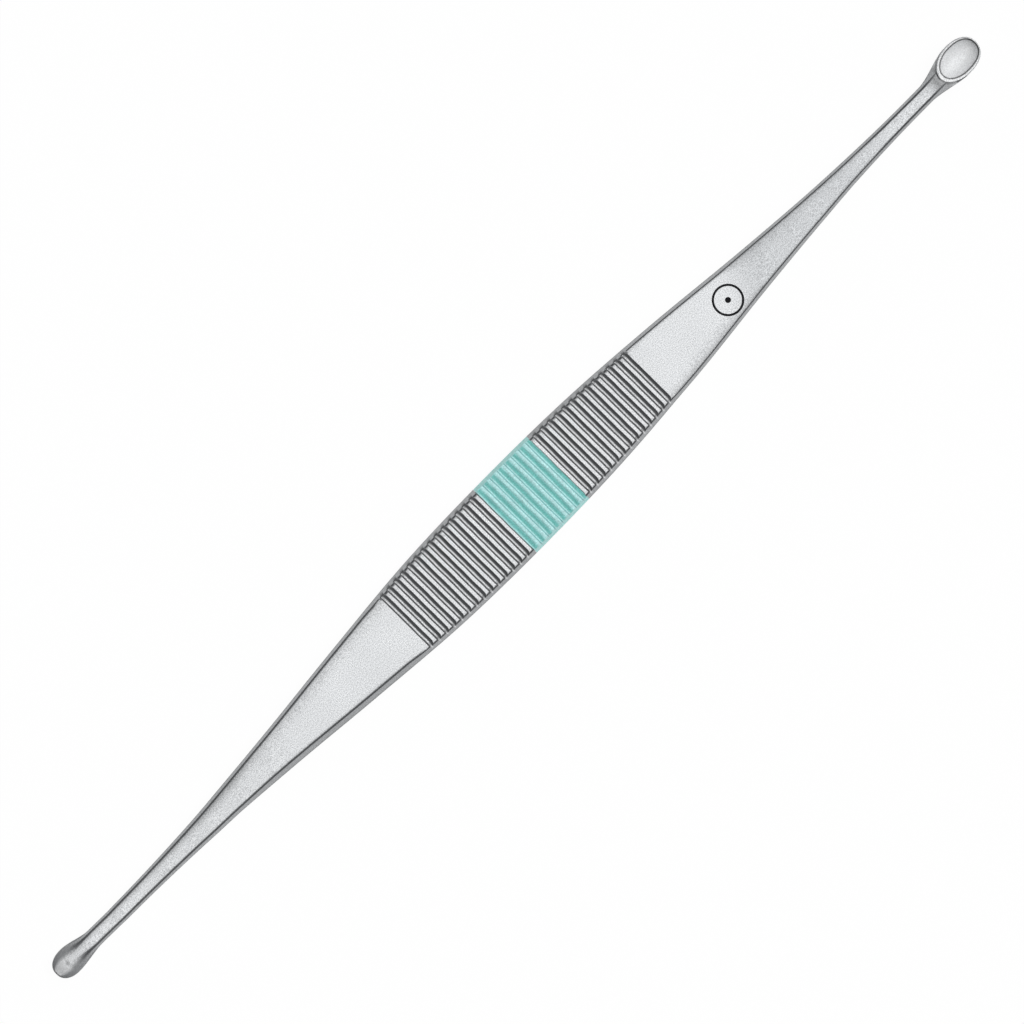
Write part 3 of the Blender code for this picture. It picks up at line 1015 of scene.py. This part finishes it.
def face_height(x, y):
    """The height of the handle's upper face."""
    from_axis = y - sway(x)
    side = 1 if from_axis > 0.0 else -1
    height = half_thickness(x)
    corner = face_corner(x, side, half_width(x), height)
    return MIDDLE_HEIGHT + height - crowned(x, abs(from_axis), side, corner)


def add_flat_ring(mesh, inner_radius, outer_radius):
    """A thin ring, or a disc where the inner radius is zero, laid on the handle's face."""
    loops = []
    radii = (inner_radius, outer_radius, outer_radius, inner_radius)
    for radius, sign in zip(radii, (-1, -1, 1, 1)):
        loop = []
        for step in range(MARK_SEGMENTS):
            angle = 2.0 * math.pi * step / MARK_SEGMENTS
            x = MARK_CENTRE.x + radius * math.cos(angle)
            y = MARK_CENTRE.y + radius * math.sin(angle)
            loop.append(mesh.verts.new((x, y, face_height(x, y) + MARK_HEIGHT * sign)))
        loops.append(loop)
    join_rings(mesh, zip(loops, loops[1:] + loops[:1]))


def laser_mark(look):
    """A plain ring with a dot in its centre."""
    mesh = bmesh.new()
    add_flat_ring(mesh, MARK_RADIUS - MARK_LINE / 2.0, MARK_RADIUS + MARK_LINE / 2.0)
    add_flat_ring(mesh, 0.0, MARK_DOT)
    bmesh.ops.remove_doubles(mesh, verts=mesh.verts, dist=NO_LENGTH)
    bmesh.ops.recalc_face_normals(mesh, faces=mesh.faces)
    return add_piece("laser_mark", mesh, look, ())


def new_material(name):
    made = bpy.data.materials.new(name)
    made.use_nodes = True
    tree = made.node_tree
    return made, tree, tree.nodes["Principled BSDF"]


def node(tree, kind, **settings):
    made = tree.nodes.new(kind)
    for key, value in settings.items():
        setattr(made, key, value)
    return made


def set_inputs(made, values):
    for name, value in values.items():
        made.inputs[name].default_value = value


def feed(tree, sockets, values):
    """Give each socket its value, or a link where the value is another node's output."""
    for socket, value in zip(sockets, values):
        if isinstance(value, (int, float, tuple)):
            socket.default_value = value
        else:
            tree.links.new(value, socket)


def maths(tree, operation, *values):
    made = node(tree, "ShaderNodeMath", operation=operation)
    feed(tree, made.inputs, values)
    return made.outputs[0]


def mix_colour(tree, share, first, second, blend="MIX"):
    made = node(tree, "ShaderNodeMix", data_type="RGBA", blend_type=blend)
    feed(tree, (made.inputs[0], made.inputs[6], made.inputs[7]), (share, first, second))
    return made.outputs[2]


def object_noise(tree, scale, detail=2.0, stretch=(1.0, 1.0, 1.0)):
    """Noise in object space, in features per metre."""
    place = node(tree, "ShaderNodeTexCoord")
    mapping = node(tree, "ShaderNodeMapping")
    set_inputs(mapping, {"Scale": stretch})
    texture = node(tree, "ShaderNodeTexNoise")
    set_inputs(texture, {"Scale": scale, "Detail": detail})
    tree.links.new(place.outputs["Object"], mapping.inputs["Vector"])
    tree.links.new(mapping.outputs["Vector"], texture.inputs["Vector"])
    return texture.outputs["Fac"]


def finish(tree, name, strength=1.0):
    """The share of a finish that the mesh carries."""
    share = node(tree, "ShaderNodeAttribute", attribute_name=name).outputs["Fac"]
    return maths(tree, "MULTIPLY", share, strength)


def bump(tree, shader, height, strength, distance):
    made = node(tree, "ShaderNodeBump")
    set_inputs(made, {"Strength": strength, "Distance": distance})
    tree.links.new(height, made.inputs["Height"])
    tree.links.new(made.outputs["Normal"], shader.inputs["Normal"])


# Noise scales in features per metre
STEEL_GRAIN = 10000.0
STEEL_STREAKS = 5200.0
STEEL_CLOUDS = 260.0
BAND_GRAIN = 8200.0
BAND_STREAKS = 6000.0
MARK_GRAIN = 9000.0

# Colours of the steel, from its plain face to the painted shade along its edges
STEEL = (0.76, 0.775, 0.79, 1.0)
# The neck's colour is painted shade
NECK_SHADE_STEEL = (0.62, 0.635, 0.65, 1.0)
SATIN_STEEL = (0.83, 0.84, 0.85, 1.0)
RIM_STEEL = (0.87, 0.88, 0.89, 1.0)
# The flanks' colour is a painted dark reflection
FLANK_SHADE_STEEL = (0.37, 0.38, 0.39, 1.0)
# The grooves' colour darkens them by their depth as painted shade
GROOVE_SHADE_STEEL = (0.72, 0.73, 0.74, 1.0)
# The colour of the painted shade in the lines along edges, rims and grooves
PAINTED_SHADE_STEEL = (0.035, 0.037, 0.04, 1.0)

# How far the painted shade darkens the steel in a line and in a groove's shade, and how far the grain
# makes the groove's painted shade patchy: the grain's share and the share that always stays
LINE_STRENGTH = 0.97
SHADE_STRENGTH = 0.94
SHADE_PATCHES = (0.35, 0.8)

# The grain's contrast and the roughness of a plain face, and how far the other finishes change
# these and the metallic share
CONTRAST = 1.6
SATIN_CONTRAST = -0.9
ROUGHNESS = 0.24
CLOUD_ROUGHNESS = 0.08
FLANK_ROUGHNESS = 0.18
SATIN_ROUGHNESS = 0.3
SATIN_METAL = -0.6
FLANK_METAL = 0.25

# How strong and how deep the fine relief is
STEEL_RELIEF = (0.08, 0.02 * MM)
BAND_RELIEF = (0.2, 0.03 * MM)


def steel_material():
    """Steel with a fine satin grain, matt in the spoons, with painted shade along edges, in grooves
    and on the large neck, and a painted dark reflection on the flanks.
    """
    made, tree, shader = new_material("satin_steel")
    grain = object_noise(tree, STEEL_GRAIN, 1.0)
    streaks = object_noise(tree, STEEL_STREAKS, stretch=(1.0, 0.12, 1.0))
    cloud = object_noise(tree, STEEL_CLOUDS)
    satin = finish(tree, "satin")
    # Painted shade: the dark lines along edges and rims, and along each groove's -X edge
    line = finish(tree, "line", LINE_STRENGTH)
    line = maths(tree, "MAXIMUM", line, finish(tree, "lip", LINE_STRENGTH))
    shade_patchiness = maths(tree, "MINIMUM", maths(tree, "MULTIPLY_ADD", grain, *SHADE_PATCHES), 1.0)
    shade = maths(tree, "MULTIPLY", finish(tree, "shade", SHADE_STRENGTH), shade_patchiness)
    line = maths(tree, "MAXIMUM", line, shade)
    # The neck's painted shade
    colour = mix_colour(tree, finish(tree, "neck"), STEEL, NECK_SHADE_STEEL)
    colour = mix_colour(tree, finish(tree, "groove"), colour, GROOVE_SHADE_STEEL)
    colour = mix_colour(tree, satin, colour, SATIN_STEEL)
    colour = mix_colour(tree, finish(tree, "rim"), colour, RIM_STEEL)
    # The flanks' painted dark reflection
    colour = mix_colour(tree, finish(tree, "flank"), colour, FLANK_SHADE_STEEL)
    colour = mix_colour(tree, line, colour, PAINTED_SHADE_STEEL)
    contrast = maths(tree, "MULTIPLY_ADD", satin, SATIN_CONTRAST, CONTRAST)
    speck = maths(tree, "MULTIPLY_ADD", maths(tree, "SUBTRACT", grain, 0.5), contrast, 1.0)
    tree.links.new(mix_colour(tree, 1.0, colour, speck, "MULTIPLY"), shader.inputs["Base Color"])
    rough = maths(tree, "MULTIPLY_ADD", cloud, CLOUD_ROUGHNESS, ROUGHNESS)
    rough = maths(tree, "ADD", rough, finish(tree, "flank", FLANK_ROUGHNESS))
    rough = maths(tree, "MULTIPLY_ADD", satin, SATIN_ROUGHNESS, rough)
    tree.links.new(rough, shader.inputs["Roughness"])
    metal = maths(tree, "MULTIPLY_ADD", satin, SATIN_METAL, 1.0)
    metal = maths(tree, "SUBTRACT", metal, finish(tree, "flank", FLANK_METAL))
    metal = maths(tree, "SUBTRACT", metal, line)
    tree.links.new(maths(tree, "MAXIMUM", metal, 0.0), shader.inputs["Metallic"])
    set_inputs(shader, {"Specular IOR Level": 0.25})
    bump(tree, shader, maths(tree, "ADD", grain, streaks), *STEEL_RELIEF)
    return made


# Colours of the band, on its ribs, in its grooves with painted shade, on its flanks and in the
# painted shade lines along the grooves' edges
BAND_LIGHT = (0.48, 0.745, 0.755, 1.0)
BAND_DEEP_SHADE = (0.14, 0.45, 0.42, 1.0)
BAND_FLANK = (0.33, 0.7, 0.67, 1.0)
BAND_SHADE_LINE = (0.12, 0.34, 0.34, 1.0)
BAND_FLANK_SHARE = 0.9
BAND_SHADE_LINE_SHARE = 0.85

# The grain's contrast, how much of it the flanks lack, and the streaks' share and level
BAND_CONTRAST = 1.1
BAND_FLANK_CONTRAST = 0.6
BAND_STREAKING = (0.5, 0.75)


def band_material():
    """Turquoise plastic that has run into the grooves: pale on the ribs, deep between them with
    painted shade, and with painted shade lines along the grooves' edges.
    """
    made, tree, shader = new_material("turquoise_coating")
    set_inputs(shader, {"Roughness": 0.42, "Specular IOR Level": 0.4})
    grain = object_noise(tree, BAND_GRAIN)
    streaks = object_noise(tree, BAND_STREAKS, stretch=(1.0, 0.1, 1.0))
    colour = mix_colour(tree, finish(tree, "groove"), BAND_LIGHT, BAND_DEEP_SHADE)
    colour = mix_colour(tree, finish(tree, "flank", BAND_FLANK_SHARE), colour, BAND_FLANK)
    colour = mix_colour(tree, finish(tree, "lip", BAND_SHADE_LINE_SHARE), colour, BAND_SHADE_LINE)
    contrast = maths(tree, "SUBTRACT", BAND_CONTRAST, finish(tree, "flank", BAND_FLANK_CONTRAST))
    mottle = maths(tree, "MULTIPLY_ADD", maths(tree, "SUBTRACT", grain, 0.5), contrast, 1.0)
    streaked = maths(tree, "MULTIPLY_ADD", streaks, *BAND_STREAKING)
    mottle = maths(tree, "MULTIPLY", mottle, streaked)
    tree.links.new(mix_colour(tree, 1.0, colour, mottle, "MULTIPLY"), shader.inputs["Base Color"])
    bump(tree, shader, maths(tree, "ADD", grain, streaks), *BAND_RELIEF)
    return made


MARK_BLACK = (0.004, 0.004, 0.005, 1.0)
MARK_GREY = (0.01, 0.01, 0.012, 1.0)


def mark_material():
    """The matt black of a laser mark."""
    made, tree, shader = new_material("laser_black")
    set_inputs(shader, {"Roughness": 0.7, "Specular IOR Level": 0.2})
    grain = object_noise(tree, MARK_GRAIN)
    colour = mix_colour(tree, grain, MARK_BLACK, MARK_GREY)
    tree.links.new(colour, shader.inputs["Base Color"])
    return made


FLOOR_COLOUR = (0.85, 0.85, 0.85, 1.0)
FLOOR_GLOW_SHARE = 0.96
FLOOR_HALF_SIZE = 3.0
FLOOR_GAP = 0.02 * MM


def floor():
    """A plain pale floor, white to the camera and in reflections, that keeps a soft shadow."""
    made, tree, shader = new_material("floor")
    set_inputs(shader, {"Base Color": FLOOR_COLOUR, "Roughness": 0.9})
    glow = node(tree, "ShaderNodeEmission")
    set_inputs(glow, {"Strength": 1.0})
    path = node(tree, "ShaderNodeLightPath")
    seen = maths(tree, "MAXIMUM", path.outputs["Is Camera Ray"], path.outputs["Is Glossy Ray"])
    seen = maths(tree, "MAXIMUM", seen, path.outputs["Is Transmission Ray"])
    mixed = node(tree, "ShaderNodeMixShader")
    tree.links.new(maths(tree, "MULTIPLY", seen, FLOOR_GLOW_SHARE), mixed.inputs[0])
    tree.links.new(shader.outputs[0], mixed.inputs[1])
    tree.links.new(glow.outputs[0], mixed.inputs[2])
    tree.links.new(mixed.outputs[0], tree.nodes["Material Output"].inputs["Surface"])
    data = bpy.data.meshes.new("floor")
    size = FLOOR_HALF_SIZE
    height = low.z - FLOOR_GAP
    signs = ((-1, -1), (1, -1), (1, 1), (-1, 1))
    data.from_pydata([(size * x, size * y, height) for x, y in signs], [], [(0, 1, 2, 3)])
    data.materials.append(made)
    add_object("floor", data)


def eased(tree, value, start, end, low_level, high_level):
    """A level that changes evenly while the value goes from start to end."""
    made = node(tree, "ShaderNodeMapRange", interpolation_type="SMOOTHSTEP")
    feed(tree, made.inputs, (value, start, end, low_level, high_level))
    return made.outputs[0]


# The studio's light by its direction: where a level starts to change, where it has changed, and
# both levels. The softbox's places are distances for one of height, along X for its ends and
# along Y for its half level, and the others are parts of a unit vector
SOFTBOX_NEAR_END = (-0.46, -0.16, 0.0, 1.0)
SOFTBOX_FAR_END = (1.4, 3.2, 1.0, 0.0)
SOFTBOX_HALF_LEVEL = 0.46
HORIZON = (0.55, 0.1, 0.0, 0.5)
HORIZON_ALONG = (-0.7, 0.0, 0.3, 1.0)
WALLS = (0.35, 0.75, 0.05, 0.3)
WORLD_STRENGTH = 1.15
FILL_ENERGY = 2.1
FILL_ANGLE = math.radians(40.0)
FILL_TURN = (math.radians(6.0), math.radians(24.0), 0.0)


def studio_world():
    """A soft light overhead, longer towards the large spoon, in a dim room with a pale horizon."""
    world = bpy.data.worlds.new("studio")
    bpy.context.scene.world = world
    world.use_nodes = True
    tree = world.node_tree
    axes = node(tree, "ShaderNodeSeparateXYZ")
    tree.links.new(node(tree, "ShaderNodeTexCoord").outputs["Generated"], axes.inputs[0])
    x, y, z = axes.outputs
    above = maths(tree, "MAXIMUM", z, 0.01)
    along = maths(tree, "DIVIDE", x, above)
    across = maths(tree, "DIVIDE", y, above)
    near_end = eased(tree, along, *SOFTBOX_NEAR_END)
    far_end = eased(tree, along, *SOFTBOX_FAR_END)
    aside = maths(tree, "DIVIDE", across, SOFTBOX_HALF_LEVEL)
    fading = maths(tree, "DIVIDE", 1.0, maths(tree, "MULTIPLY_ADD", aside, aside, 1.0))
    softbox = maths(tree, "MULTIPLY", maths(tree, "MULTIPLY", near_end, far_end), fading)
    horizon = eased(tree, z, *HORIZON)
    horizon = maths(tree, "MULTIPLY", horizon, eased(tree, x, *HORIZON_ALONG))
    walls = eased(tree, maths(tree, "ABSOLUTE", y), *WALLS)
    level = maths(tree, "MAXIMUM", maths(tree, "ADD", softbox, horizon), walls)
    background = tree.nodes["Background"]
    set_inputs(background, {"Strength": WORLD_STRENGTH})
    tree.links.new(level, background.inputs["Color"])


def fill_light():
    """A wide lamp above that lifts the matt surfaces to a plain level."""
    data = bpy.data.lights.new("fill", "SUN")
    data.angle = FILL_ANGLE
    data.energy = FILL_ENERGY
    lamp = add_object("fill", data)
    lamp.rotation_euler = FILL_TURN
    lamp.visible_glossy = False


# Camera. The instrument's middle lies right of the photograph's and above it, in pixels
CAMERA_TURN = math.radians(45.41)
CAMERA_DISTANCE = 0.6
CAMERA_REACH = 10.0
SENSOR_WIDTH = 36.0
FRAME_WIDTH = 101.4 * MM
FRAME_PIXELS = 1024
MIDDLE_RIGHT_PIXELS = 4.7
MIDDLE_UP_PIXELS = 2.7


def camera():
    """Straight down, turned so that +X points up to the right as in the photograph."""
    pixel = FRAME_WIDTH / FRAME_PIXELS
    right = Vector((math.cos(CAMERA_TURN), -math.sin(CAMERA_TURN), 0.0))
    up = Vector((math.sin(CAMERA_TURN), math.cos(CAMERA_TURN), 0.0))
    data = bpy.data.cameras.new("camera")
    data.sensor_width = SENSOR_WIDTH
    data.lens = SENSOR_WIDTH * CAMERA_DISTANCE / FRAME_WIDTH
    data.clip_end = CAMERA_REACH
    made = add_object("camera", data)
    aside = right * MIDDLE_RIGHT_PIXELS * pixel + up * MIDDLE_UP_PIXELS * pixel
    made.location = Vector((0.0, 0.0, THICKNESS + CAMERA_DISTANCE)) - aside
    made.rotation_euler = (0.0, 0.0, -CAMERA_TURN)
    bpy.context.scene.camera = made


bpy.context.scene.view_settings.view_transform = "Standard"
steel_body(steel_material())
colour_band(band_material())
laser_mark(mark_material())
floor()
studio_world()
fill_light()
camera()
